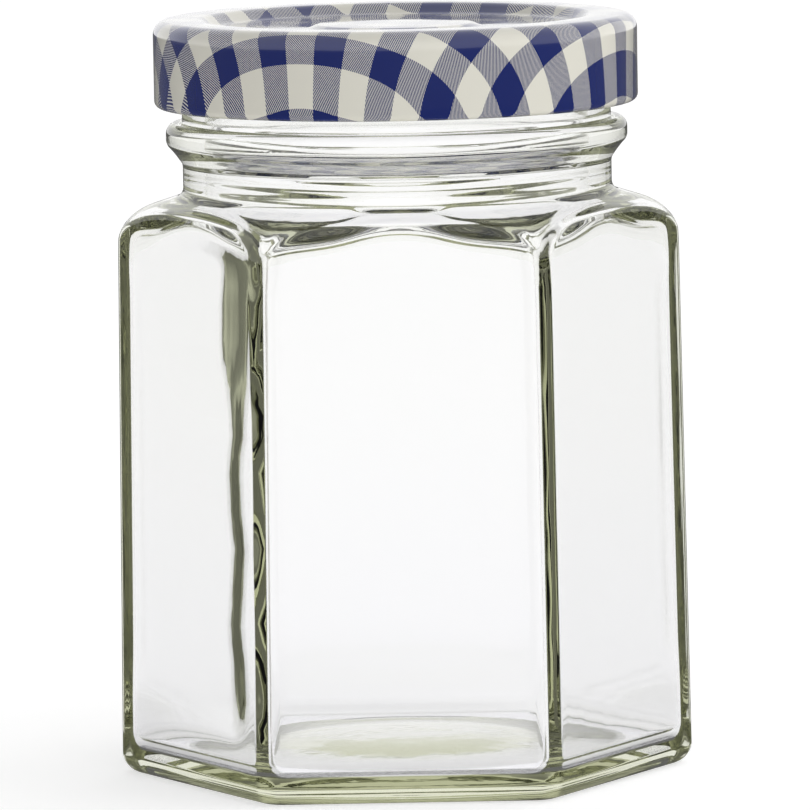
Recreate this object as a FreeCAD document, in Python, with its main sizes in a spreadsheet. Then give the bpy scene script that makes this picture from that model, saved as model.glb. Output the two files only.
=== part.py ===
"""Hexagonal preserving jar with a twist-off lid, 110 ml.

The jar is pressed glass: a six-sided body with rounded corners, a turned sloping shoulder, a short
round neck with a carrying bead, and a finish with inclined thread ridges. The lid is a drawn
steel cap with a rolled lower edge, whose inward lugs lock under the thread ridges. A soft sealing
ring is squeezed between the cap and the glass rim.

Frame: millimetres, +Z up, the origin on the axis at the level that the jar stands on, and a flat
side of the body facing -Y.
"""

import FreeCAD, Part
import math
import os
import Sketcher

# Driving sizes: name, value in millimetres (or degrees, or a count) and what it measures.
SIZES = (
    ("flats", 52.4, "width across the flats of the body at its foot"),
    ("draft", 0.57, "lean of the body's sides towards the axis, in degrees"),
    ("corner_radius", 2.4, "round on the six upright corners"),
    ("heel_radius", 2.2, "round between the sides and the foot"),
    ("shoulder_height", 60.6, "from the foot to the root of the neck"),
    ("shoulder_slope", 18, "fall of the shoulder from level, in degrees"),
    ("shoulder_radius", 5.0, "turned round from the shoulder's slope down to the corners"),
    ("crease_radius", 0.9, "round between the flat sides and the shoulder"),
    ("neck_step", 3.3, "how far the neck stands in from the flat sides"),
    ("neck_root_radius", 1.2, "hollow round between shoulder and neck"),
    ("neck_length", 3.3, "plain neck below the carrying bead"),
    ("bead_reach", 1.7, "how far the carrying bead stands out of the neck"),
    ("bead_fall", 2.3, "height of the bead's sloping underside"),
    ("bead_length", 4.3, "whole height of the carrying bead"),
    ("bead_radius", 1.1, "rounds of the bead"),
    ("finish_length", 9.3, "from the bead to the rim"),
    ("rim_radius", 0.8, "rounds on both edges of the rim"),
    ("wall", 2.3, "glass thickness of sides and neck"),
    ("shoulder_wall", 1.2, "glass thickness of the shoulder"),
    ("floor", 3.4, "height of the floor at its edge"),
    ("floor_crown", 1.1, "rise of the floor in its middle"),
    ("floor_edge", 1.2, "flat edge of the floor round its rise"),
    ("inner_corner_radius", 3.4, "round of the upright corners inside"),
    ("inner_heel_radius", 3.2, "round between the sides and the floor inside"),
    ("inner_root_radius", 1.4, "round between the shoulder and the bore inside"),
    ("foot_width", 3.6, "flat ring that the jar stands on, between heel and punt"),
    ("punt_depth", 1.3, "depth of the hollow under the foot"),
    ("starts", 4, "number of thread ridges and of lugs"),
    ("thread_reach", 1.15, "how far a thread ridge stands out of the finish"),
    ("thread_width", 1.6, "height of a thread ridge at its root"),
    ("thread_crest", 0.8, "height of a thread ridge at its crest"),
    ("thread_rise", 1.8, "climb of one thread ridge"),
    ("thread_sweep", 62, "turn of one thread ridge, in degrees"),
    ("thread_gap", 0.2, "clearance between the thread ridges and the lid's rolled edge"),
    ("lid_lift", 1.6, "clearance between the bead and the lid's rolled edge"),
    ("steel", 0.25, "thickness of the lid's sheet"),
    ("curl_radius", 0.75, "outer radius of the lid's rolled edge"),
    ("lid_corner_radius", 1.5, "round from the lid's top to its skirt"),
    ("ring_inset", 0.2, "how far the lid's raised ring stops short of the bore"),
    ("panel_depth", 1.1, "how far the lid's panel lies below its ring"),
    ("panel_slope", 50, "steepness of the step from ring to panel, in degrees"),
    ("button_radius", 9.0, "foot of the button in the middle of the panel"),
    ("button_rise", 0.35, "height of the button"),
    ("button_slope", 24, "steepness of the button's side, in degrees"),
    ("bend_radius", 0.3, "rounds on the bends of the panel"),
    ("lug_reach", 0.8, "how far a lug stands in from the rolled edge"),
    ("lug_height", 0.75, "thickness of a lug"),
    ("lug_turn", 17, "width of one lug, in degrees"),
    ("lug_start", 5, "where a lug begins along its thread ridge, in degrees"),
    ("lug_gap", 0.12, "clearance between a lug and the thread ridge above it"),
    ("liner_width", 3.1, "width of the sealing ring"),
    ("liner_height", 1.15, "thickness of the sealing ring"),
)
ROOT_OF_3 = math.sqrt(3)
NEAR = 0.01


class Measure:
    """A length with its value and the sheet expression that gives it."""

    def __init__(self, value, text):
        self.value = float(value)
        self.text = text

    def joined(self, sign, other, work):
        if not isinstance(other, Measure):
            other = Measure(other, f"{other:.9g}")
        return Measure(work(self.value, other.value), f"({self.text} {sign} {other.text})")

    def __add__(self, other):
        return self.joined("+", other, lambda a, b: a + b)

    def __sub__(self, other):
        return self.joined("-", other, lambda a, b: a - b)

    def __mul__(self, other):
        return self.joined("*", other, lambda a, b: a * b)

    def __truediv__(self, other):
        return self.joined("/", other, lambda a, b: a / b)

    def __neg__(self):
        return self * -1


def turn_ratio(name, angle):
    """The sine, cosine or tangent of an angle in degrees."""
    short = {"sine": "sin", "cosine": "cos", "tangent": "tan"}[name]
    return Measure(getattr(math, short)(math.radians(angle.value)), f"{short}({angle.text})")


class Sizes:
    """The driving sizes as attributes, each tied to its cell of the sheet, and the levels and
    radii that follow from them."""

    def __init__(self, doc):
        sheet = doc.addObject("Spreadsheet::Sheet", "Sizes")
        for row, (name, value, meaning) in enumerate(SIZES, start=1):
            sheet.set(f"A{row}", str(value))
            sheet.setAlias(f"A{row}", name)
            sheet.set(f"B{row}", meaning)
            setattr(self, name, Measure(value, f"Sizes.{name}"))
        doc.recompute()
        self.axis = Measure(0, "0")
        self.crown_flats = self.flats_at(self.shoulder_height)
        self.neck_radius = self.crown_flats / 2 - self.neck_step
        self.bore_radius = self.neck_radius - self.wall
        self.bead_level = self.shoulder_height + self.neck_length
        self.bead_top = self.bead_level + self.bead_length
        self.rim_level = self.bead_top + self.finish_length
        self.lid_level = self.bead_top + self.lid_lift
        self.lid_top = self.rim_level + self.liner_height + self.steel
        self.lid_radius = self.neck_radius + self.thread_reach + self.thread_gap
        self.lid_radius = self.lid_radius + self.curl_radius * 2

    def flats_at(self, level):
        """Width of the body across its drafted sides at a level."""
        return self.flats - level * turn_ratio("tangent", self.draft) * 2


# ---------------------------------------------------------------- sketches


def new_sketch(body, name, role, height=None):
    """A sketch on one of the body's origin planes, lifted by height along the plane's normal."""
    sketch = body.newObject("Sketcher::SketchObject", name)
    plane = next(o for o in body.Origin.OriginFeatures if o.Role == role)
    sketch.AttachmentSupport = [(plane, "")]
    sketch.MapMode = "FlatFace"
    if height is not None:
        sketch.setExpression("AttachmentOffset.Base.z", height.text)
    return sketch


def bind(sketch, kind, where, size):
    """Adds a dimension to the sketch and ties it to the sheet."""
    index = sketch.addConstraint(Sketcher.Constraint(kind, *where, size.value))
    sketch.setExpression(f"Constraints[{index}]", size.text)


def arc_between(start, end, radius, turn):
    """The arc of that radius from start to end, less than half a circle; turn is 1 for
    anticlockwise and -1 for clockwise."""
    chord = end - start
    lift = math.sqrt(max(radius**2 - chord.Length**2 / 4, 0.0))
    across = FreeCAD.Vector(-chord.y, chord.x, 0).normalize()
    centre = (start + end) * 0.5 + across * lift * turn
    ends = (start, end) if turn > 0 else (end, start)
    angles = [math.atan2(point.y - centre.y, point.x - centre.x) for point in ends]
    return Part.ArcOfCircle(Part.Circle(centre, FreeCAD.Vector(0, 0, 1), radius), *angles)


def draw_outline(sketch, corners):
    """Draws a closed outline. A corner is (x, y), reached by a line, or (x, y, radius, turn),
    reached by an arc; a line closes the outline from the last corner to the first."""
    points = [FreeCAD.Vector(corner[0].value, corner[1].value, 0) for corner in corners]
    ends = []
    for index, here in enumerate(points):
        following = (index + 1) % len(points)
        there = points[following]
        if len(corners[following]) == 2:
            edge = sketch.addGeometry(Part.LineSegment(here, there), False)
            ends.append((edge, 1, 2))
            continue
        radius, turn = corners[following][2:]
        edge = sketch.addGeometry(arc_between(here, there, radius.value, turn), False)
        bind(sketch, "Radius", (edge,), radius)
        ends.append((edge, 1, 2) if turn > 0 else (edge, 2, 1))
    for index, (edge, first, last) in enumerate(ends):
        before = ends[index - 1]
        sketch.addConstraint(Sketcher.Constraint("Coincident", before[0], before[2], edge, first))
        place(sketch, edge, first, corners[index])


def place(sketch, edge, end, corner):
    """Fixes one end of an edge at the corner, on the axes where a coordinate is nought."""
    for kind, size, axis in (("DistanceX", corner[0], -2), ("DistanceY", corner[1], -1)):
        if size.value == 0:
            sketch.addConstraint(Sketcher.Constraint("PointOnObject", edge, end, axis))
        else:
            bind(sketch, kind, (-1, 1, edge, end), size)


def hexagon(flats, axis):
    """Corners of a regular hexagon about the origin, two of them on the X axis."""
    tip, half = flats / ROOT_OF_3, flats / 2
    upper = [(tip, axis), (tip / 2, half), (-tip / 2, half)]
    return upper + [(-tip, axis), (-tip / 2, -half), (tip / 2, -half)]


# ---------------------------------------------------------------- features


def turned(body, name, kind, corners, angle=None, start=None):
    """A Revolution or Groove of an outline in the XZ plane about the Z axis."""
    sketch = new_sketch(body, name + "_outline", "XZ_Plane")
    draw_outline(sketch, corners)
    if start is not None:
        turn = FreeCAD.Rotation(FreeCAD.Vector(0, 1, 0), start.value)
        sketch.AttachmentOffset = FreeCAD.Placement(FreeCAD.Vector(0, 0, 0), turn)
        sketch.setExpression("AttachmentOffset.Rotation.Angle", start.text)
    feature = body.newObject("PartDesign::" + kind, name)
    feature.Profile = sketch
    feature.ReferenceAxis = (sketch, ["V_Axis"])
    feature.Angle = 360
    if angle is not None:
        feature.setExpression("Angle", angle.text)
    body.Document.recompute()
    return feature


def rounded(body, name, radius, wanted):
    """A fillet on those edges of the body so far that wanted accepts."""
    base = body.Tip
    edges = enumerate(base.Shape.Edges, start=1)
    names = [f"Edge{number}" for number, edge in edges if wanted(edge)]
    fillet = body.newObject("PartDesign::Fillet", name)
    fillet.Base = (base, names)
    fillet.setExpression("Radius", radius.text)
    body.Document.recompute()
    return fillet


def ringed(*rings):
    """Accepts the circles about the Z axis with one of the given (radius, height)."""

    def wanted(edge):
        box = edge.BoundBox
        point = edge.firstVertex().Point
        across = math.hypot(point.x, point.y)
        for radius, height in rings:
            level = max(abs(box.ZMin - height.value), abs(box.ZMax - height.value)) < NEAR
            if level and abs(across - radius.value) < NEAR:
                return True
        return False

    return wanted


def six_sided_form(body, foot, flats, top, draft, rounds, shoulder):
    """A six-sided form that leans in by draft, from the level foot, where it measures flats
    across, up to the level top; rounds are those of corners and heel, and shoulder is (slope,
    round, radius of the neck, crease)."""
    sketch = new_sketch(body, body.Name + "_foot", "XY_Plane", foot)
    draw_outline(sketch, hexagon(flats, Measure(0, "0")))
    pad = body.newObject("PartDesign::Pad", body.Name + "_sides")
    pad.Profile = sketch
    pad.setExpression("Length", (top - foot).text)
    body.Document.recompute()
    upright = [n for n, face in enumerate(pad.Shape.Faces, start=1) if face.BoundBox.ZLength > 1]
    lean = body.newObject("PartDesign::Draft", body.Name + "_lean")
    lean.Base = (pad, [f"Face{number}" for number in upright])
    lean.NeutralPlane = (sketch, [""])
    lean.setExpression("Angle", draft.text)
    body.Document.recompute()
    tall = (top.value - foot.value) / 2
    rounded(body, body.Name + "_corners", rounds[0], lambda edge: edge.BoundBox.ZLength > tall)
    tip = (flats - (top - foot) * turn_ratio("tangent", draft) * 2) / ROOT_OF_3
    turn_shoulder(body, top, tip, shoulder)
    low = foot.value + NEAR
    rounded(body, body.Name + "_heel", rounds[1], lambda edge: edge.BoundBox.ZMax < low)


def turn_shoulder(body, top, tip, shoulder):
    """Turns the top of a form down to a slope that rounds over into the corners."""
    slope, radius, neck, crease = shoulder
    bend = tip - radius + radius * turn_ratio("sine", slope)
    bend_level = top - (bend - neck) * turn_ratio("tangent", slope)
    edge_level = bend_level - radius * turn_ratio("cosine", slope)
    corners = [
        (neck, top),
        (bend, bend_level),
        (tip, edge_level, radius, -1),
        (tip + radius, edge_level),
        (tip + radius, top + 1),
        (neck, top + 1),
    ]
    turned(body, body.Name + "_shoulder", "Groove", corners)
    low = edge_level.value - 1
    high = top.value - NEAR

    def on_crease(edge):
        box = edge.BoundBox
        if box.ZMin < low or box.ZMax > high or box.ZLength < NEAR:
            return False
        return not crosses_level_line(edge)

    rounded(body, body.Name + "_crease", crease, on_crease)


def crosses_level_line(edge):
    """True for a seam that lies in one half plane through the axis."""
    span = (edge.FirstParameter, (edge.FirstParameter + edge.LastParameter) / 2, edge.LastParameter)
    points = [edge.valueAt(parameter) for parameter in span]
    turns = [math.degrees(math.atan2(point.y, point.x)) % 360 for point in points]
    return max(turns) - min(turns) < NEAR


def make_cavity(doc, s):
    """The space inside the jar, from the floor to above the rim."""
    body = doc.addObject("PartDesign::Body", "cavity")
    slope = s.shoulder_slope
    rise = s.wall * turn_ratio("tangent", slope) - s.shoulder_wall / turn_ratio("cosine", slope)
    root = s.shoulder_height + rise
    flats = s.flats_at(s.floor) - s.wall * 2
    shoulder = (slope, s.shoulder_radius, s.bore_radius, s.crease_radius)
    rounds = (s.inner_corner_radius, s.inner_heel_radius)
    six_sided_form(body, s.floor, flats, root, s.draft, rounds, shoulder)
    mouth = [
        (s.axis, root),
        (s.bore_radius, root),
        (s.bore_radius, s.rim_level + 1),
        (s.axis, s.rim_level + 1),
    ]
    turned(body, "mouth", "Revolution", mouth)
    rounded(body, "inner_root", s.inner_root_radius, ringed((s.bore_radius, root)))
    hollow(body, "floor_rise", s.floor, flats / 2 - s.inner_heel_radius - s.floor_edge, s.floor_crown)
    return body


def hollow(body, name, level, reach, depth):
    """Hollows the underside of a form: a round that rises from reach to a flat middle."""
    middle = reach / 3
    span = reach - middle
    radius = (span * span + depth * depth) / (depth * 2)
    axis = Measure(0, "0")
    cut = [(axis, level), (reach, level), (middle, level + depth, radius, 1), (axis, level + depth)]
    turned(body, name, "Groove", cut)


def make_jar(doc, s):
    """The glass: its outside is built first, then the cavity is taken out of it."""
    cavity = make_cavity(doc, s)
    body = doc.addObject("PartDesign::Body", "jar")
    shoulder = (s.shoulder_slope, s.shoulder_radius, s.neck_radius, s.crease_radius)
    rounds = (s.corner_radius, s.heel_radius)
    six_sided_form(body, s.axis, s.flats, s.shoulder_height, s.draft, rounds, shoulder)
    bead = s.neck_radius + s.bead_reach
    neck = [
        (s.axis, s.shoulder_height),
        (s.neck_radius, s.shoulder_height),
        (s.neck_radius, s.bead_level),
        (bead, s.bead_level + s.bead_fall),
        (bead, s.bead_top),
        (s.neck_radius, s.bead_top),
        (s.neck_radius, s.rim_level),
        (s.axis, s.rim_level),
    ]
    turned(body, "neck", "Revolution", neck)
    rounded(body, "neck_root", s.neck_root_radius, ringed((s.neck_radius, s.shoulder_height)))
    bead_edges = ringed((bead, s.bead_level + s.bead_fall), (bead, s.bead_top))
    rounded(body, "bead_rounds", s.bead_radius, bead_edges)
    hollow(body, "punt", s.axis, s.flats / 2 - s.heel_radius - s.foot_width, s.punt_depth)
    add_thread(body, s)
    emptied = body.newObject("PartDesign::Boolean", "emptied")
    emptied.Type = "Cut"
    emptied.Group = [cavity]
    doc.recompute()
    rims = ringed((s.neck_radius, s.rim_level), (s.bore_radius, s.rim_level))
    rounded(body, "rim_rounds", s.rim_radius, rims)
    return body


def add_thread(body, s):
    """Inclined ridges round the finish, each climbing anticlockwise."""
    lug_top = s.lid_level + s.curl_radius + s.lug_height / 2
    low = lug_top + s.lug_gap - s.thread_rise * s.lug_start / s.thread_sweep
    slack = (s.thread_width - s.thread_crest) / 4
    root = s.neck_radius - s.wall / 4
    crest = s.neck_radius + s.thread_reach
    ridge = [
        (root, low),
        (s.neck_radius, low),
        (crest, low + slack),
        (crest, low + slack + s.thread_crest),
        (s.neck_radius, low + s.thread_width),
        (root, low + s.thread_width),
    ]
    sketch = new_sketch(body, "ridge_section", "XZ_Plane")
    draw_outline(sketch, ridge)
    helix = body.newObject("PartDesign::AdditiveHelix", "ridge")
    helix.Profile = sketch
    helix.ReferenceAxis = (sketch, ["V_Axis"])
    helix.Mode = "pitch-height-angle"
    helix.setExpression("Pitch", (s.thread_rise * 360 / s.thread_sweep).text)
    helix.setExpression("Height", s.thread_rise.text)
    body.Document.recompute()
    repeat(body, "ridges", helix, s.starts)


def repeat(body, name, feature, count):
    """Repeats a feature evenly round the Z axis."""
    pattern = body.newObject("PartDesign::PolarPattern", name)
    pattern.Originals = [feature]
    axis = next(o for o in body.Origin.OriginFeatures if o.Role == "Z_Axis")
    pattern.Axis = (axis, [""])
    pattern.Angle = 360
    pattern.setExpression("Occurrences", count.text)
    body.Tip = pattern
    body.Document.recompute()


def make_lid(doc, s):
    """A sheet steel cap: a panel with a button, a raised ring, a skirt and a rolled edge."""
    body = doc.addObject("PartDesign::Body", "lid")
    sheet_outline(body, s)
    lug_outer = s.lid_radius - s.curl_radius * 2 + s.steel / 2
    lug_inner = s.lid_radius - s.curl_radius * 2 - s.lug_reach
    middle = s.lid_level + s.curl_radius
    lug = [
        (lug_inner, middle - s.lug_height / 2),
        (lug_outer, middle - s.lug_height / 2),
        (lug_outer, middle + s.lug_height / 2),
        (lug_inner, middle + s.lug_height / 2),
    ]
    tongue = turned(body, "lug", "Revolution", lug, s.lug_turn, s.lug_start)
    repeat(body, "lugs", tongue, s.starts)
    return body


def sheet_outline(body, s):
    """The lid's section: its upper side from the axis to the rolled edge, then back below."""
    steel, curl, corner, outer = s.steel, s.curl_radius, s.lid_corner_radius, s.lid_radius
    panel = s.lid_top - s.panel_depth
    ring = s.bore_radius + s.ring_inset
    ring_foot = ring - s.panel_depth / turn_ratio("tangent", s.panel_slope)
    button = s.button_radius
    button_edge = button - s.button_rise / turn_ratio("tangent", s.button_slope)
    shift = steel * turn_ratio("tangent", s.panel_slope / 2)
    button_shift = steel * turn_ratio("tangent", s.button_slope / 2)
    centre, middle = outer - curl, s.lid_level + curl
    tilt = Measure(math.sqrt(0.5), f"{math.sqrt(0.5):.9g}")
    inside = curl - steel
    above = [
        (s.axis, panel + s.button_rise),
        (button_edge, panel + s.button_rise),
        (button, panel),
        (ring_foot, panel),
        (ring, s.lid_top),
        (outer - corner, s.lid_top),
        (outer, s.lid_top - corner, corner, -1),
        (outer, middle),
        (centre - curl * tilt, middle - curl * tilt, curl, -1),
        (centre, middle + curl, curl, -1),
    ]
    below = [
        (centre, middle + inside),
        (centre - inside * tilt, middle - inside * tilt, inside, 1),
        (outer - steel, middle, inside, 1),
        (outer - steel, s.lid_top - corner),
        (outer - corner, s.lid_top - steel, corner - steel, 1),
        (ring + shift, s.lid_top - steel),
        (ring_foot + shift, panel - steel),
        (button - button_shift, panel - steel),
        (button_edge - button_shift, panel + s.button_rise - steel),
        (s.axis, panel + s.button_rise - steel),
    ]
    turned(body, "sheet", "Revolution", above + below)
    bends = [corner[:2] for corner in above[1:5] + below[5:9]]
    rounded(body, "bends", s.bend_radius, ringed(*bends))


def make_liner(doc, s):
    """The sealing ring, flat against the lid's ring above and the glass rim below."""
    body = doc.addObject("PartDesign::Body", "liner")
    outer = s.lid_radius - s.lid_corner_radius
    section = [
        (outer - s.liner_width, s.rim_level),
        (outer, s.rim_level),
        (outer, s.rim_level + s.liner_height),
        (outer - s.liner_width, s.rim_level + s.liner_height),
    ]
    turned(body, "ring", "Revolution", section)
    return body


# ---------------------------------------------------------------- the part


def check(doc):
    """Stops if a feature failed to recompute or a shape isn't sound."""
    for thing in doc.Objects:
        if {"Invalid", "Error"} & set(thing.State):
            raise RuntimeError(f"{thing.Name}: {thing.State}")
        shape = getattr(thing, "Shape", None)
        solid = thing.isDerivedFrom("PartDesign::Feature") or thing.isDerivedFrom("PartDesign::Body")
        if solid and (shape is None or shape.isNull() or not shape.isValid()):
            raise RuntimeError(f"{thing.Name}: unsound shape")


def main():
    doc = FreeCAD.newDocument("preserving_jar")
    sizes = Sizes(doc)
    parts = [make_jar(doc, sizes), make_lid(doc, sizes), make_liner(doc, sizes)]
    doc.recompute()
    check(doc)
    os.makedirs("parts", exist_ok=True)
    for body in parts:
        body.Label = body.Name
        shape = body.Shape
        if len(shape.Solids) != 1:
            raise RuntimeError(f"{body.Label}: {len(shape.Solids)} solids")
        shape.exportStep(f"parts/{body.Label}.step")


main()
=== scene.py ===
"""Looks of an empty hexagonal preserving jar with a gingham twist-off lid."""

import math

import bpy
from mathutils import Matrix, Vector


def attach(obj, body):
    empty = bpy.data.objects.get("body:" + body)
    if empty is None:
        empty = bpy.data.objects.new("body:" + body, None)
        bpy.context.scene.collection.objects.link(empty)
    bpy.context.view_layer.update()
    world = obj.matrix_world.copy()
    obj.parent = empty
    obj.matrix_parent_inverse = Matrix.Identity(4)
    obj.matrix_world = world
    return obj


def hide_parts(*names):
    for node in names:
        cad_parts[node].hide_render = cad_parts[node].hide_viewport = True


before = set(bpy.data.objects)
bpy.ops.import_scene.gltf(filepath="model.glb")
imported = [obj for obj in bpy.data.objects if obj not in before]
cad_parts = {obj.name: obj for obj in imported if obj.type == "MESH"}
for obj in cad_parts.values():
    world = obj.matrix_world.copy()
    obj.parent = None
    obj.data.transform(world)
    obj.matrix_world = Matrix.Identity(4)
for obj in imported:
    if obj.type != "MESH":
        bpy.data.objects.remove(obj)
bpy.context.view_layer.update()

MM = 0.001

# Parts of the glass's loops, and the angle in degrees from which a turn stays sharp.
SIDES = 6
CORNER_STEPS = 10
SIDE_CUTS = 25
SHARP = 50

# Outside of the glass, in millimetres. A level is a height above the foot; NECK, BEAD, FOOT and,
# further down, BORE are radii.
FLATS = 52.36
LEAN = math.tan(math.radians(0.57))
CORNER = 2.4
HEEL = 2.2
SIDES_TOP = 51.0
SHOULDER_EDGE = 58.0
ROOT_LEVEL = 60.6
SLOPE = math.radians(18)
SHOULDER_ROUND = 5.0
NECK = 22.295
ROOT_HOLLOW = 1.2
BEAD = 23.99
BEAD_ROUND = 1.1
BEAD_TOP = 68.2
RIM_LEVEL = 77.5
RIM_ROUND = 0.8
FOOT = 22.6
THREAD_LEVEL = 71.7
THREAD_RISE = 1.8
THREAD_SWEEP = 62.0
THREAD_REACH = 1.15

# Level of the shoulder while it is still flat, before it is pressed down.
CROWN_LEVEL = 64.0

# Inside of the glass.
WALL = 2.3
SHOULDER_WALL = 1.1
BORE = 19.995
FLOOR = 2.6
INNER_HEEL = 1.8
INNER_CORNER = 1.2
INNER_SHOULDER_ROUND = 3.2
INNER_HOLLOW = 1.4

# How far the inside strays from its even form.
SUNK_CORNERS = 1.6
FOLD = 1.0
THICK_CORNERS = 0.18
BORE_RINGS = 0.06

# Lid.
LID_LEVEL = 69.8
LID_TOP = 78.9
LID_RADIUS = 25.145
LID_CORNER = 1.5
PANEL_DEPTH = 1.1
CURL = 0.75
STEEL = 0.25
LUGS = 4
LUG_DEPTH = 0.75

# Print on the lid, on the flat sheet that it is drawn from, and its inks.
BLANK = 80.0
CHECK = 3.3
THREAD = 0.25
THREAD_SHARE = 0.62
PRINT_TURN = 203.0
ROW_START = 24.6
CREAM = (0.8, 0.78, 0.69)
BLUE = (0.005, 0.015, 0.13)

# Tint of the light that the glass traps.
OLIVE = (1.0, 1.02, 0.8)


# ------------------------------------------------------------------ bench


def clear_selection():
    if bpy.context.object and bpy.context.object.mode != "OBJECT":
        bpy.ops.object.mode_set(mode="OBJECT")
    bpy.ops.object.select_all(action="DESELECT")


def pick(piece):
    """Selects the piece alone and makes it the one being worked on."""
    clear_selection()
    piece.select_set(True)
    bpy.context.view_layer.objects.active = piece


def take_up(piece):
    """Picks the piece and opens its mesh, in edit mode with nothing selected."""
    pick(piece)
    bpy.ops.object.mode_set(mode="EDIT")
    bpy.ops.mesh.select_mode(type="VERT")
    bpy.ops.mesh.select_all(action="DESELECT")


def put_down():
    bpy.ops.object.mode_set(mode="OBJECT")


def select_by(piece, wanted):
    """In edit mode, selects the vertices that wanted(vertex) accepts and the edges between."""
    bpy.ops.object.mode_set(mode="OBJECT")
    points = piece.data.vertices
    for vertex in points:
        vertex.select = wanted(vertex)
    for edge in piece.data.edges:
        edge.select = points[edge.vertices[0]].select and points[edge.vertices[1]].select
    for face in piece.data.polygons:
        face.select = all(points[index].select for index in face.vertices)
    bpy.ops.object.mode_set(mode="EDIT")


def select_where(piece, wanted):
    """In edit mode, selects the vertices that wanted(radius, angle, height) accepts, in mm."""

    def accepted(vertex):
        x, y, z = (value / MM for value in vertex.co)
        return wanted(math.hypot(x, y), math.degrees(math.atan2(y, x)) % 360, z)

    select_by(piece, accepted)


def apply_all(piece):
    pick(piece)
    for modifier in list(piece.modifiers):
        bpy.ops.object.modifier_apply(modifier=modifier.name)


def face_outwards(piece):
    take_up(piece)
    bpy.ops.mesh.select_all(action="SELECT")
    bpy.ops.mesh.normals_make_consistent(inside=False)
    put_down()


def smooth(piece):
    """Smooths the piece apart from its sharp turns."""
    pick(piece)
    bpy.ops.object.shade_smooth_by_angle(angle=math.radians(SHARP))


def settle(piece):
    """Faces outwards, smooth apart from sharp turns, with its place in its mesh."""
    face_outwards(piece)
    bpy.ops.object.transform_apply(location=True, rotation=True, scale=True)
    smooth(piece)


class Ring:
    """The open edge loop of a turned or six-sided shell, extruded on and on. Its radius is the
    mean one, because a six-sided loop has no other."""

    def __init__(self, piece, height):
        self.piece = piece
        self.height = height
        self.radius = mean_radius(piece)

    def to(self, radius, height, roundness=0.0):
        """Extrudes the loop to a new radius and height in mm, and rounds it if asked."""
        lift = (0, 0, (height - self.height) * MM)
        bpy.ops.mesh.extrude_region_move(TRANSFORM_OT_translate={"value": lift})
        share = radius / self.radius
        centre = (0, 0, height * MM)
        bpy.ops.transform.resize(value=(share, share, 1), center_override=centre)
        if roundness:
            bpy.ops.transform.tosphere(value=roundness)
        self.radius = radius
        self.height = height

    def along(self, points):
        for radius, height in points:
            self.to(radius, height)

    def close(self):
        """Shuts the loop at its middle."""
        bpy.ops.mesh.extrude_region_move(TRANSFORM_OT_translate={"value": (0, 0, 0)})
        bpy.ops.mesh.merge(type="CENTER")


def mean_radius(piece):
    """Mean distance in mm of the selected vertices from the axis."""
    bpy.ops.object.mode_set(mode="OBJECT")
    found = [vertex.co.xy.length / MM for vertex in piece.data.vertices if vertex.select]
    bpy.ops.object.mode_set(mode="EDIT")
    return sum(found) / len(found)


def arc(centre, radius, start, end, steps):
    """Points (radius, height) of an arc in the upright section, angles in degrees."""
    points = []
    for step in range(steps + 1):
        angle = math.radians(start + (end - start) * step / steps)
        points.append((centre[0] + radius * math.cos(angle), centre[1] + radius * math.sin(angle)))
    return points


def round_loop(name, radius, height, columns):
    """A new piece that starts as a round loop."""
    clear_selection()
    spot = (0, 0, height * MM)
    bpy.ops.mesh.primitive_circle_add(vertices=columns, radius=radius * MM, location=spot)
    piece = bpy.context.object
    piece.name = name
    bpy.ops.object.transform_apply(location=True, rotation=True, scale=True)
    take_up(piece)
    bpy.ops.mesh.select_all(action="SELECT")
    return piece


def six_sided_loop(name, flats, corner, height):
    """A new piece that starts as a six-sided loop with rounded corners, one corner at +X."""
    clear_selection()
    spot = (0, 0, height * MM)
    tip = flats / math.sqrt(3) * MM
    bpy.ops.mesh.primitive_circle_add(vertices=SIDES, radius=tip, location=spot)
    piece = bpy.context.object
    piece.name = name
    bpy.ops.object.transform_apply(location=True, rotation=True, scale=True)
    take_up(piece)
    bpy.ops.mesh.select_all(action="SELECT")
    bpy.ops.transform.rotate(value=math.radians(30), orient_axis="Z", center_override=(0, 0, 0))
    reach = corner * math.tan(math.radians(30)) * MM
    bpy.ops.mesh.bevel(offset=reach, segments=CORNER_STEPS, affect="VERTICES", profile=0.5)
    cut_long_sides(piece)
    return piece


def cut_long_sides(piece):
    """Divides the straight sides of a six-sided loop, and then selects the whole loop."""
    bpy.ops.object.mode_set(mode="OBJECT")
    points = piece.data.vertices
    lengths = {}
    for edge in piece.data.edges:
        lengths[edge.index] = (points[edge.vertices[0]].co - points[edge.vertices[1]].co).length
    longest = max(lengths.values())
    for vertex in points:
        vertex.select = False
    for edge in piece.data.edges:
        edge.select = lengths[edge.index] > longest * 0.9
    bpy.ops.object.mode_set(mode="EDIT")
    bpy.ops.mesh.select_mode(type="EDGE")
    bpy.ops.mesh.subdivide(number_cuts=SIDE_CUTS)
    bpy.ops.mesh.select_mode(type="VERT")
    bpy.ops.mesh.select_all(action="SELECT")


def select_points(piece, points):
    """In edit mode, selects the vertices with those numbers and the edges between them."""
    chosen = set(points)
    select_by(piece, lambda vertex: vertex.index in chosen)


def selected_points(piece):
    """Numbers of the selected vertices, while in edit mode."""
    bpy.ops.object.mode_set(mode="OBJECT")
    found = [vertex.index for vertex in piece.data.vertices if vertex.select]
    bpy.ops.object.mode_set(mode="EDIT")
    return found


# ------------------------------------------------------------------ glass


def flats_at(height):
    return FLATS - 2 * height * LEAN


def turned_form(name, points):
    """A thin turned surface, as a form to press against."""
    piece = round_loop(name, points[0][0], points[0][1], columns=288)
    Ring(piece, points[0][1]).along(points[1:])
    put_down()
    return piece


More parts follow.
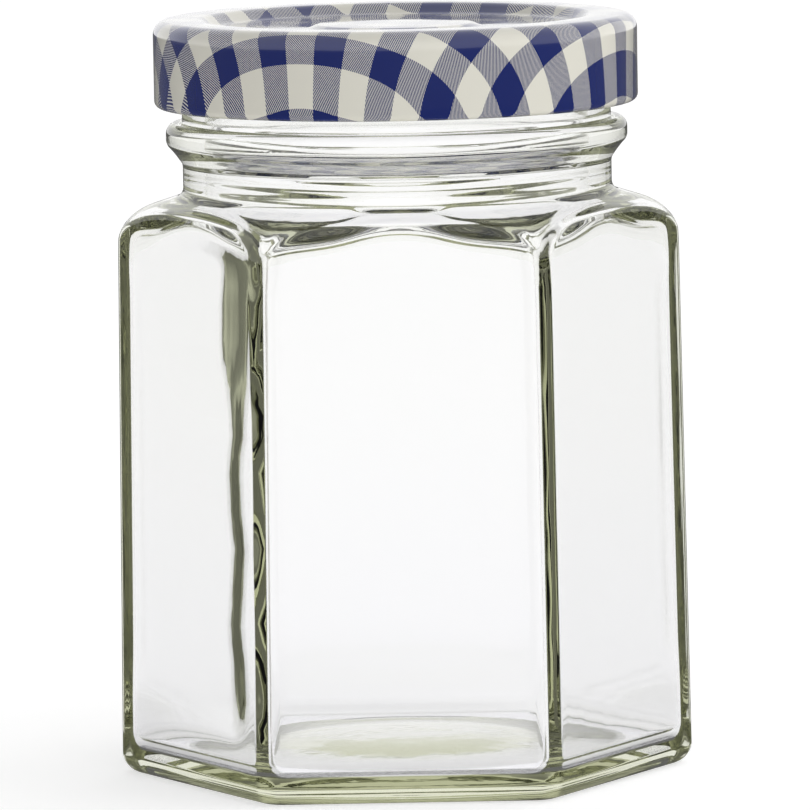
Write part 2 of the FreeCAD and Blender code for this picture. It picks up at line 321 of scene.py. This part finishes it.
def shoulder_form(name, neck, root, tip, turn):
    """The slope of the shoulder and the round over the corners."""
    bend = tip - turn + turn * math.sin(SLOPE)
    level = root - (bend - neck) * math.tan(SLOPE)
    centre = (tip - turn, level - turn * math.cos(SLOPE))
    edge = arc(centre, turn, 90 - math.degrees(SLOPE), 0, 24)
    points = [(neck - 2, root + 2 * math.tan(SLOPE)), (bend, level)] + edge[1:]
    points.append((tip + 1, centre[1] - 3))
    return turned_form(name, points)


def root_round(neck, root, hollow):
    """Centre and points of the round between the shoulder's slope and the neck."""
    rise = (hollow / math.cos(SLOPE)) - hollow * math.tan(SLOPE)
    turn = 270 - math.degrees(SLOPE)
    return arc((neck + hollow, root + rise), hollow, turn, 180, 6)


def press_crown(piece, crown, form):
    """Presses the crown straight down on the shoulder's form."""
    group = piece.vertex_groups.new(name="crown")
    for loop in crown:
        group.add(loop, 1.0, "REPLACE")
    press = piece.modifiers.new("press", "SHRINKWRAP")
    press.target = form
    press.wrap_method = "PROJECT"
    press.vertex_group = "crown"
    press.use_project_z = True
    press.use_negative_direction = True
    press.use_positive_direction = False
    apply_all(piece)
    piece.vertex_groups.clear()
    pick(form)
    bpy.ops.object.delete()


def round_crease(piece, skirts, crease):
    """Softens the edge where the six sides meet the shoulder. The skirts are loops on the sides,
    pressed like the crown, which are let down below the crease first."""
    for points, drop in skirts:
        take_up(piece)
        select_points(piece, points)
        bpy.ops.transform.translate(value=(0, 0, -drop * MM))
    take_up(piece)
    select_points(piece, crease)
    bpy.ops.mesh.vertices_smooth(factor=0.5, repeat=4)
    put_down()


def six_sided_shell(name, inset, corner, base, neck, root, hollow):
    """Sides, shoulder and neck root of one skin of the glass, from the level base upwards.
    Also returns its crown: loop by loop, from the sides inwards."""
    flats = flats_at(base) - 2 * inset
    piece = six_sided_loop(name, flats, corner, base)
    ring = Ring(piece, base)
    start = ring.radius
    levels = [base + (SIDES_TOP - base) * step / 24 for step in range(1, 25)] + [52.6, 54.0]
    for level in levels:
        ring.to(start * (flats_at(level) - 2 * inset) / flats, level)
    crown = []
    for step_in in (0, 0, 0, 0.2, 0.5, 0.9, 1.4):
        apart = flats_at(SHOULDER_EDGE) - 2 * inset - 2 * step_in
        ring.to(start * apart / flats, CROWN_LEVEL)
        crown.append(selected_points(piece))
    rounding = root_round(neck, root, hollow)
    wide, narrow = ring.radius, rounding[0][0]
    for step in range(1, 13):
        radius = wide + (narrow - wide) * step / 12
        ring.to(radius, CROWN_LEVEL, roundness=1 / (13 - step))
        crown.append(selected_points(piece))
    ring.along(rounding[1:])
    return piece, ring, crown


def press_shoulder(piece, crown, neck, root, inset, turn):
    """Gives the flat crown its slope and rounds the edge round it."""
    tip = (flats_at(ROOT_LEVEL) - 2 * inset) / math.sqrt(3)
    press_crown(piece, crown, shoulder_form(piece.name + "_form", neck, root, tip, turn))
    round_crease(piece, ((crown[0], 0.7), (crown[1], 0.25)), crown[1] + crown[2] + crown[3])


def heel_loop(piece, level):
    """Selects the lowest loop of the sides, to go on downwards."""
    take_up(piece)
    select_where(piece, lambda radius, angle, height: abs(height - level) < 0.001)
    return Ring(piece, level)


def round_heel(ring, apothem, heel):
    """Turns the sides in under the foot; ends level, heel below the start."""
    steps = 8
    start, top = ring.radius, ring.height
    for step in range(1, steps + 1):
        angle = math.radians(90 * step / steps)
        inset = heel * (1 - math.cos(angle))
        ring.to(start * (apothem - inset) / apothem, top - heel * math.sin(angle))


def draw_in(ring, radius, height, steps):
    """Takes a six-sided loop in to a circle in steps, along a straight slope."""
    start, low = ring.radius, ring.height
    for step in range(1, steps + 1):
        share = step / steps
        level = low + (height - low) * share
        ring.to(start + (radius - start) * share, level, roundness=1 / (steps - step + 1))


def swell(piece, amount, share, direction="NORMAL", sign=1):
    """Moves the surface by up to amount in mm where share(radius, angle, height) is above 0."""
    clear_selection()
    group = piece.vertex_groups.new(name="swell")
    for vertex in piece.data.vertices:
        x, y, z = (value / MM for value in vertex.co)
        weight = share(math.hypot(x, y), math.degrees(math.atan2(y, x)) % 360, z)
        if weight > 0:
            group.add([vertex.index], min(weight, 1.0), "REPLACE")
    push = piece.modifiers.new("push", "DISPLACE")
    push.direction = direction
    push.strength = sign * amount * MM
    push.mid_level = 0.0
    push.vertex_group = "swell"
    apply_all(piece)
    piece.vertex_groups.clear()


def ease(value, low, high):
    """0 below low, 1 above high, and smooth between."""
    share = min(max((value - low) / (high - low), 0.0), 1.0)
    return share * share * (3 - 2 * share)


def off_corner(angle):
    """Angle to the nearest upright corner of the body, 0 to 30 degrees."""
    return abs((angle + 30) % 60 - 30)


def sunk_corner(radius, angle, height):
    """Over the corners the inside of the shoulder drops by the neck and then runs flatter."""
    if height < 54.4 or height > 63:
        return 0.0
    near = 1 - ease(off_corner(angle), 12, 24)
    fall = 1 - min(max((radius - 22.8) / 5.2, 0.0), 1.0)
    return near * ease(radius, 20.2, 22.8) * fall


def side_corner(radius, angle, height):
    """The glass is a little thicker in the two corners that face along X."""
    turn = abs((angle + 90) % 180 - 90)
    return (1 - ease(turn, 0, 9)) * ease(height, 8, 14) * (1 - ease(height, 50, 54))


def ripple(radius, angle, height):
    """Faint rings in the bore of the neck."""
    sway = 0.5 + 0.5 * math.sin(height * 5.4 + 1.3 * math.sin(math.radians(angle * 3)))
    return sway * ease(height, 61.4, 62.6) * (1 - ease(height, 67.5, 69.5))


def ridge(radius, angle, height):
    """The four thread ridges, each climbing as it goes round."""
    if radius < NECK - 0.01 or height < BEAD_TOP + 1:
        return 0.0
    turn = angle % 90
    middle = THREAD_LEVEL + THREAD_RISE * turn / THREAD_SWEEP
    crest = min(max((0.8 - abs(height - middle)) / 0.4, 0.0), 1.0)
    return crest * ease(turn, 0, 4) * (1 - ease(turn, THREAD_SWEEP - 4, THREAD_SWEEP))


def flow(radius, angle, height):
    """A fold in the inside of one side, where the glass ran as it cooled: it swells away from
    the corner, widely under the shoulder and in a narrow ripple below."""
    if radius > 27.4 or height < 5 or height > 58.5 or not 181 < angle < 241:
        return 0.0
    half_side = 13.45
    along = half_side - radius * math.sin(math.radians(angle - 210))
    wide = ease(height, 38, 47)
    shift = 0.5 * math.sin(height / 2.3) + 0.35 * math.sin(height / 0.9 + 1)
    start = 3.0 - 1.6 * wide + shift * (1 - 0.5 * wide)
    length = 3.2 + 3.4 * wide
    rise = min(max((along - start) / length, 0.0), 1.0)
    fall = 1 - ease(along, start + length, 25.5)
    return rise * fall * (0.48 + 0.52 * wide) * ease(height, 5, 9) * (1 - ease(height, 54.5, 58.5))


def make_outside():
    piece, ring, crown = six_sided_shell("glass", 0, CORNER, HEEL, NECK, ROOT_LEVEL, ROOT_HOLLOW)
    ring.along([(NECK, 62.6), (NECK, 63.6), (NECK + 0.06, 63.95), (NECK + 0.28, 64.3)])
    ring.along([(NECK + 0.75, 64.95), (NECK + 1.2, 65.5)])
    ring.along(arc((BEAD - BEAD_ROUND, 66.45), BEAD_ROUND, -36, 0, 4))
    ring.along(arc((BEAD - BEAD_ROUND, BEAD_TOP - BEAD_ROUND), BEAD_ROUND, 0, 90, 7))
    ring.along([(NECK + 0.28, BEAD_TOP + 0.02), (NECK + 0.07, BEAD_TOP + 0.1), (NECK, 68.6)])
    ring.along([(NECK, 69.2 + 0.4 * step) for step in range(19)])
    rim_middle = RIM_LEVEL - RIM_ROUND
    ring.along(arc((NECK - RIM_ROUND, rim_middle), RIM_ROUND, 12, 90, 7))
    ring.along(arc((BORE + RIM_ROUND, rim_middle), RIM_ROUND, 90, 168, 7))
    press_shoulder(piece, crown, NECK, ROOT_LEVEL, 0, SHOULDER_ROUND)
    ring = heel_loop(piece, HEEL)
    round_heel(ring, flats_at(HEEL) / 2, HEEL)
    draw_in(ring, FOOT, 0, 3)
    ring.along([(21.8, 0.0), (21.0, 0.02), (20.3, 0.1), (19.4, 0.24), (17.5, 0.5)])
    ring.along([(14.5, 0.86), (11.0, 1.14), (7.5, 1.29), (3.0, 1.3), (0.6, 1.3)])
    ring.close()
    put_down()
    return piece


def make_inside():
    base = FLOOR + INNER_HEEL
    rise = WALL * math.tan(SLOPE) - SHOULDER_WALL / math.cos(SLOPE)
    root = ROOT_LEVEL + rise
    piece, ring, crown = six_sided_shell("inside", WALL, INNER_CORNER, base, BORE, root, INNER_HOLLOW)
    ring.along([(BORE, 61.5 + 0.25 * step) for step in range(33)])
    ring.along([(BORE, 70.5 + step) for step in range(7)])
    ring.along([(BORE + 0.01, 76.7)])
    press_shoulder(piece, crown, BORE, root, WALL, INNER_SHOULDER_ROUND)
    swell(piece, SUNK_CORNERS, sunk_corner, direction="Z", sign=-1)
    take_up(piece)
    select_where(piece, lambda radius, angle, height: 53.2 < height < 61.0 and radius > 22.4)
    bpy.ops.mesh.vertices_smooth(factor=0.5, repeat=16)
    put_down()
    ring = heel_loop(piece, base)
    round_heel(ring, flats_at(base) / 2 - WALL, INNER_HEEL)
    draw_in(ring, 18.5, FLOOR + 0.1, 5)
    ring.along([(16.5, 2.86), (14.5, 3.08), (12.0, 3.32), (9.0, 3.55), (6.0, 3.68)])
    ring.along([(3.0, 3.7), (0.6, 3.7)])
    ring.close()
    put_down()
    settle(piece)
    swell(piece, FOLD, flow, sign=-1)
    swell(piece, THICK_CORNERS, side_corner, sign=-1)
    swell(piece, BORE_RINGS, ripple, sign=-1)
    return piece


def make_glass():
    outside = make_outside()
    inside = make_inside()
    pick(outside)
    inside.select_set(True)
    bpy.ops.object.join()
    take_up(outside)
    bpy.ops.mesh.select_non_manifold(extend=False, use_boundary=True)
    bpy.ops.mesh.bridge_edge_loops()
    put_down()
    settle(outside)
    swell(outside, THREAD_REACH, ridge)
    return outside


# ------------------------------------------------------------------ lid


def blank_radius(depth):
    """Radius in the flat sheet of a point that ends up that deep below the lid's top."""
    return 24.206 + 1.329 * depth - 0.0547 * depth**2


def lid_profile():
    """Radius and height of the drawn lid, and the radius of the same ring in the flat sheet."""
    panel = LID_TOP - PANEL_DEPTH
    flat = [(0.6, panel + 0.35), (4.0, panel + 0.35), (7.9, panel + 0.35), (8.2, panel + 0.32)]
    flat += [(8.6, panel + 0.15), (9.0, panel + 0.03), (9.3, panel), (12.0, panel), (15.5, panel)]
    flat += [(18.85, panel), (19.1, panel + 0.05), (19.35, panel + 0.22), (19.75, panel + 0.7)]
    flat += [(20.0, LID_TOP - 0.17), (20.25, LID_TOP - 0.04), (20.55, LID_TOP), (22.2, LID_TOP)]
    rings = [(radius, height, radius) for radius, height in flat]
    start = LID_RADIUS - LID_CORNER
    corner = arc((start, LID_TOP - LID_CORNER), LID_CORNER, 90, 0, 9)
    for step, (radius, height) in enumerate(corner):
        share = step / 9
        rings.append((radius, height, start + (blank_radius(LID_CORNER) - start) * share))
    middle = LID_LEVEL + CURL
    deepest = LID_TOP - middle
    for step in range(1, 13):
        depth = LID_CORNER + (deepest - LID_CORNER) * step / 12
        rings.append((LID_RADIUS, LID_TOP - depth, blank_radius(depth)))
    roll = arc((LID_RADIUS - CURL, middle), CURL, 0, -262, 16)
    for step, (radius, height) in enumerate(roll[1:], start=1):
        rings.append((radius, height, blank_radius(deepest) + 0.16 * step))
    return rings


def print_flat(piece):
    """Lays the print on the sheet while it is still flat."""
    bpy.ops.object.mode_set(mode="OBJECT")
    layer = piece.data.uv_layers.new(name="print")
    for loop in piece.data.loops:
        place = piece.data.vertices[loop.vertex_index].co / MM
        layer.data[loop.index].uv = (place.x / BLANK + 0.5, place.y / BLANK + 0.5)
    bpy.ops.object.mode_set(mode="EDIT")


def draw_lid(piece, loops, rings):
    """Presses the flat sheet into the cap, ring by ring."""
    for points, (radius, height, flat) in zip(loops, rings):
        select_points(piece, points)
        share = radius / flat
        bpy.ops.transform.resize(value=(share, share, 1), center_override=(0, 0, 0))
        bpy.ops.transform.translate(value=(0, 0, height * MM))


def make_lid():
    rings = lid_profile()
    piece = round_loop("lid_sheet", rings[0][2], 0, columns=180)
    bpy.ops.mesh.edge_face_add()
    bpy.ops.mesh.select_all(action="SELECT")
    ring = Ring(piece, 0)
    loops = [selected_points(piece)]
    select_points(piece, loops[0])
    for radius, height, flat in rings[1:]:
        ring.to(flat, 0)
        loops.append(selected_points(piece))
    print_flat(piece)
    draw_lid(piece, loops, rings)
    press_lugs(piece)
    put_down()
    face_outwards(piece)
    wall = piece.modifiers.new("sheet", "SOLIDIFY")
    wall.thickness = STEEL * MM
    wall.offset = -1
    wall.use_even_offset = False
    apply_all(piece)
    smooth(piece)
    return piece


def press_lugs(piece):
    """Presses the rolled edge inwards at four places, as lugs."""
    inner = LID_RADIUS - 2 * CURL
    middle = LID_LEVEL + CURL
    for number in range(LUGS):
        start = 5 + 360 / LUGS * number

        def on_lug(radius, angle, height):
            near = abs(height - middle) < 0.5 and radius < inner + 0.35
            return near and start + 1 < angle < start + 16

        select_where(piece, on_lug)
        share = (inner - LUG_DEPTH) / inner
        bpy.ops.transform.resize(value=(share, share, 0.9), center_override=(0, 0, middle * MM))


# ------------------------------------------------------------------ finishes


def new_material(name):
    material = bpy.data.materials.new(name)
    material.use_nodes = True
    tree = material.node_tree
    return material, tree, tree.nodes["Principled BSDF"]


def add_node(tree, kind, **settings):
    node = tree.nodes.new(kind)
    for name, value in settings.items():
        setattr(node, name, value)
    return node


def maths(tree, operation, *values):
    """A Math node; a value is a number or another node's output."""
    node = add_node(tree, "ShaderNodeMath", operation=operation)
    for index, value in enumerate(values):
        if isinstance(value, (int, float)):
            node.inputs[index].default_value = value
        else:
            tree.links.new(value, node.inputs[index])
    return node.outputs[0]


def glass_finish():
    material, tree, surface = new_material("pressed_glass")
    surface.inputs["Base Color"].default_value = (1, 1, 1, 1)
    surface.inputs["Roughness"].default_value = 0.0
    surface.inputs["IOR"].default_value = 1.52
    surface.inputs["Transmission Weight"].default_value = 1.0
    place = add_node(tree, "ShaderNodeTexCoord")
    stretch = add_node(tree, "ShaderNodeMapping")
    stretch.inputs["Scale"].default_value = (1, 1, 0.22)
    tree.links.new(place.outputs["Object"], stretch.inputs[0])
    sway = add_node(tree, "ShaderNodeTexNoise")
    sway.inputs["Scale"].default_value = 260
    sway.inputs["Detail"].default_value = 2
    tree.links.new(stretch.outputs[0], sway.inputs["Vector"])
    bump = add_node(tree, "ShaderNodeBump")
    bump.inputs["Strength"].default_value = 0.15
    bump.inputs["Distance"].default_value = 0.00012
    tree.links.new(sway.outputs["Fac"], bump.inputs["Height"])
    tree.links.new(bump.outputs[0], surface.inputs["Normal"])
    tint = add_node(tree, "ShaderNodeVolumeAbsorption")
    tint.inputs["Color"].default_value = (0.6, 0.63, 0.2, 1)
    tint.inputs["Density"].default_value = 10.0
    tree.links.new(tint.outputs[0], tree.nodes["Material Output"].inputs["Volume"])
    return material


def stripes(tree, along, offset):
    """1 on every other stripe of the check, else 0."""
    shifted = maths(tree, "SUBTRACT", along, offset)
    turn = maths(tree, "DIVIDE", shifted, 2 * CHECK)
    share = maths(tree, "FRACT", turn)
    return maths(tree, "LESS_THAN", share, 0.5)


def lid_finish():
    material, tree, surface = new_material("gingham_lacquer")
    place = add_node(tree, "ShaderNodeUVMap", uv_map="print")
    centre = add_node(tree, "ShaderNodeMapping")
    centre.inputs["Location"].default_value = (-BLANK / 2, -BLANK / 2, 0)
    centre.inputs["Scale"].default_value = (BLANK, BLANK, 1)
    tree.links.new(place.outputs[0], centre.inputs[0])
    turned = add_node(tree, "ShaderNodeVectorRotate", rotation_type="Z_AXIS")
    turned.inputs["Angle"].default_value = math.radians(PRINT_TURN)
    tree.links.new(centre.outputs[0], turned.inputs["Vector"])
    axes = add_node(tree, "ShaderNodeSeparateXYZ")
    tree.links.new(turned.outputs[0], axes.inputs[0])
    across, along = axes.outputs[0], axes.outputs[1]
    row = stripes(tree, along, ROW_START)
    column = stripes(tree, across, CHECK / 2)
    fine = maths(tree, "ADD", across, along)
    thread = maths(tree, "FRACT", maths(tree, "DIVIDE", fine, THREAD))
    hatch = maths(tree, "LESS_THAN", thread, THREAD_SHARE)
    both = maths(tree, "MULTIPLY", row, column)
    either = maths(tree, "MAXIMUM", row, column)
    single = maths(tree, "SUBTRACT", either, both)
    half = maths(tree, "MULTIPLY", single, hatch)
    ink = maths(tree, "ADD", both, half)
    mix = add_node(tree, "ShaderNodeMix", data_type="RGBA")
    mix.inputs["A"].default_value = (*CREAM, 1)
    mix.inputs["B"].default_value = (*BLUE, 1)
    tree.links.new(ink, mix.inputs["Factor"])
    tree.links.new(mix.outputs["Result"], surface.inputs["Base Color"])
    surface.inputs["Roughness"].default_value = 0.14
    surface.inputs["Specular IOR Level"].default_value = 0.4
    surface.inputs["Coat Weight"].default_value = 1.0
    surface.inputs["Coat Roughness"].default_value = 0.05
    return material


def liner_finish():
    material, tree, surface = new_material("sealing_compound")
    place = add_node(tree, "ShaderNodeTexCoord")
    grain = add_node(tree, "ShaderNodeTexNoise")
    grain.inputs["Scale"].default_value = 900
    tree.links.new(place.outputs["Object"], grain.inputs["Vector"])
    ramp = add_node(tree, "ShaderNodeValToRGB")
    ramp.color_ramp.elements[0].color = (0.62, 0.62, 0.58, 1)
    ramp.color_ramp.elements[1].color = (0.78, 0.78, 0.74, 1)
    tree.links.new(grain.outputs["Fac"], ramp.inputs[0])
    tree.links.new(ramp.outputs[0], surface.inputs["Base Color"])
    surface.inputs["Roughness"].default_value = 0.7
    return material


def dress(piece, material):
    piece.data.materials.clear()
    piece.data.materials.append(material)


# ------------------------------------------------------------------ studio


def trapped_light(tree):
    """1 for a ray that the glass has mirrored more than once inside it."""
    rays = add_node(tree, "ShaderNodeLightPath")
    mirrored = maths(tree, "GREATER_THAN", rays.outputs["Glossy Depth"], 1.5)
    through = maths(tree, "GREATER_THAN", rays.outputs["Transmission Depth"], 0.5)
    return maths(tree, "MULTIPLY", mirrored, through)


def ray_kind(tree, name):
    """1 for a ray of that kind, else 0."""
    return add_node(tree, "ShaderNodeLightPath").outputs[name]


def between(tree, value, low, high, start, end):
    """Follows value from start at low to end at high."""
    node = add_node(tree, "ShaderNodeMapRange", interpolation_type="SMOOTHSTEP")
    tree.links.new(value, node.inputs["Value"])
    node.inputs["From Min"].default_value = low
    node.inputs["From Max"].default_value = high
    node.inputs["To Min"].default_value = start
    node.inputs["To Max"].default_value = end
    return node.outputs[0]


def glow(tree, kind, colour, strength):
    """An Emission or Background node; strength is a number or another node's output."""
    node = add_node(tree, kind)
    node.inputs["Color"].default_value = (*colour, 1)
    if isinstance(strength, (int, float)):
        node.inputs["Strength"].default_value = strength
    else:
        tree.links.new(strength, node.inputs["Strength"])
    return node.outputs[0]


def choose(tree, share, first, second):
    """The first shader where share is 0 and the second where it is 1."""
    node = add_node(tree, "ShaderNodeMixShader")
    for socket, source in zip(node.inputs, (share, first, second)):
        tree.links.new(source, socket)
    return node.outputs[0]


def dim_room(tree, way):
    """Strength of the dim room that trapped light comes from, darker towards the two sides."""
    axes = add_node(tree, "ShaderNodeSeparateXYZ")
    tree.links.new(way, axes.inputs[0])
    side = maths(tree, "ABSOLUTE", axes.outputs[0])
    return between(tree, side, 0.2, 0.7, 0.6, 0.13)


def make_floor():
    """A pale floor. Seen through glass it carries painted shade, lilac and darker near the jar; in a
    mirror it is dark, a painted dark reflection.
    """
    clear_selection()
    bpy.ops.mesh.primitive_plane_add(size=4, location=(0, 0, 0))
    floor = bpy.context.object
    floor.name = "floor"
    material, tree, surface = new_material("pale_floor")
    surface.inputs["Base Color"].default_value = (0.8, 0.8, 0.8, 1)
    surface.inputs["Roughness"].default_value = 1.0
    surface.inputs["Specular IOR Level"].default_value = 0.0
    surface.inputs["Emission Color"].default_value = (1, 1, 1, 1)
    surface.inputs["Emission Strength"].default_value = 0.5
    place = add_node(tree, "ShaderNodeTexCoord").outputs["Object"]
    reach = add_node(tree, "ShaderNodeVectorMath", operation="LENGTH")
    tree.links.new(place, reach.inputs[0])
    # Painted shade: to rays through the glass the floor is mixed towards a darker lilac glow, more so
    # near the jar.
    shade = between(tree, reach.outputs["Value"], 0.04, 0.4, 0.14, 0.08)
    passing = ray_kind(tree, "Is Transmission Ray")
    through = maths(tree, "MULTIPLY", passing, shade)
    painted_shade_lilac = glow(tree, "ShaderNodeEmission", (0.7, 0.68, 0.95), 1.0)
    seen = choose(tree, through, surface.outputs[0], painted_shade_lilac)
    # Painted dark reflection: to mirrored rays the floor shows as a nearly black glow.
    turned_back = maths(tree, "MULTIPLY", ray_kind(tree, "Is Glossy Ray"), 0.9)
    mirrored = maths(tree, "MULTIPLY", turned_back, maths(tree, "SUBTRACT", 1.0, passing))
    seen = choose(tree, mirrored, seen, glow(tree, "ShaderNodeEmission", (1, 1, 1), 0.03))
    way = add_node(tree, "ShaderNodeVectorMath", operation="NORMALIZE")
    tree.links.new(place, way.inputs[0])
    dim = glow(tree, "ShaderNodeEmission", OLIVE, dim_room(tree, way.outputs[0]))
    seen = choose(tree, trapped_light(tree), seen, dim)
    tree.links.new(seen, tree.nodes["Material Output"].inputs["Surface"])
    dress(floor, material)
    return floor


def make_light():
    """Soft white light from all round, weaker on matt surfaces from the left. Light trapped in
    the glass on its way to the eye comes from a dim room, so that edges and corners stand out
    against the white."""
    world = bpy.data.worlds.new("studio")
    bpy.context.scene.world = world
    world.use_nodes = True
    tree = world.node_tree
    tree.nodes.clear()
    out = add_node(tree, "ShaderNodeOutputWorld")
    way = add_node(tree, "ShaderNodeTexCoord").outputs["Generated"]
    axes = add_node(tree, "ShaderNodeSeparateXYZ")
    tree.links.new(way, axes.inputs[0])
    left = between(tree, axes.outputs[0], -0.7, 0.35, 0.92, 0.0)
    shaded = maths(tree, "MULTIPLY", ray_kind(tree, "Is Diffuse Ray"), left)
    plain = glow(tree, "ShaderNodeBackground", (1, 1, 1), maths(tree, "SUBTRACT", 1.0, shaded))
    dim = glow(tree, "ShaderNodeBackground", OLIVE, dim_room(tree, way))
    tree.links.new(choose(tree, trapped_light(tree), plain, dim), out.inputs["Surface"])


def make_camera():
    """Far off and a little above the jar, square to one of its sides."""
    rise = math.radians(6.33)
    turn = math.radians(0.39)
    roll = math.radians(1.0)
    forward = Vector((0, math.cos(rise), -math.sin(rise)))
    sink = -math.sin(roll)
    right = Vector((math.cos(roll), sink * math.sin(rise), sink * math.cos(rise)))
    up = right.cross(forward)
    swing = Matrix.Rotation(-turn, 3, "Z")
    axes = Matrix((swing @ right, swing @ up, swing @ -forward)).transposed()
    target = Vector((0.377, 0, 38.2)) * MM
    distance = 0.9458
    spot = swing @ (target - forward * distance)
    lens = bpy.data.cameras.new("camera")
    lens.lens = 402.9
    lens.sensor_width = 36
    lens.clip_start = 0.01
    camera = bpy.data.objects.new("camera", lens)
    bpy.context.scene.collection.objects.link(camera)
    camera.matrix_world = Matrix.Translation(spot) @ axes.to_4x4()
    bpy.context.scene.camera = camera


# ------------------------------------------------------------------ the jar

make_camera()
make_light()
make_floor()

glass = make_glass()
dress(glass, glass_finish())
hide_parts("jar")
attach(glass, "root")

lid_sheet = make_lid()
dress(lid_sheet, lid_finish())
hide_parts("lid")
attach(lid_sheet, "root")

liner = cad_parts["liner"]
liner.material_slots[0].material = liner_finish()

bpy.context.scene.view_settings.view_transform = "Standard"
bpy.context.scene.cycles.max_bounces = 26
bpy.context.scene.cycles.glossy_bounces = 22
bpy.context.scene.cycles.transmission_bounces = 14
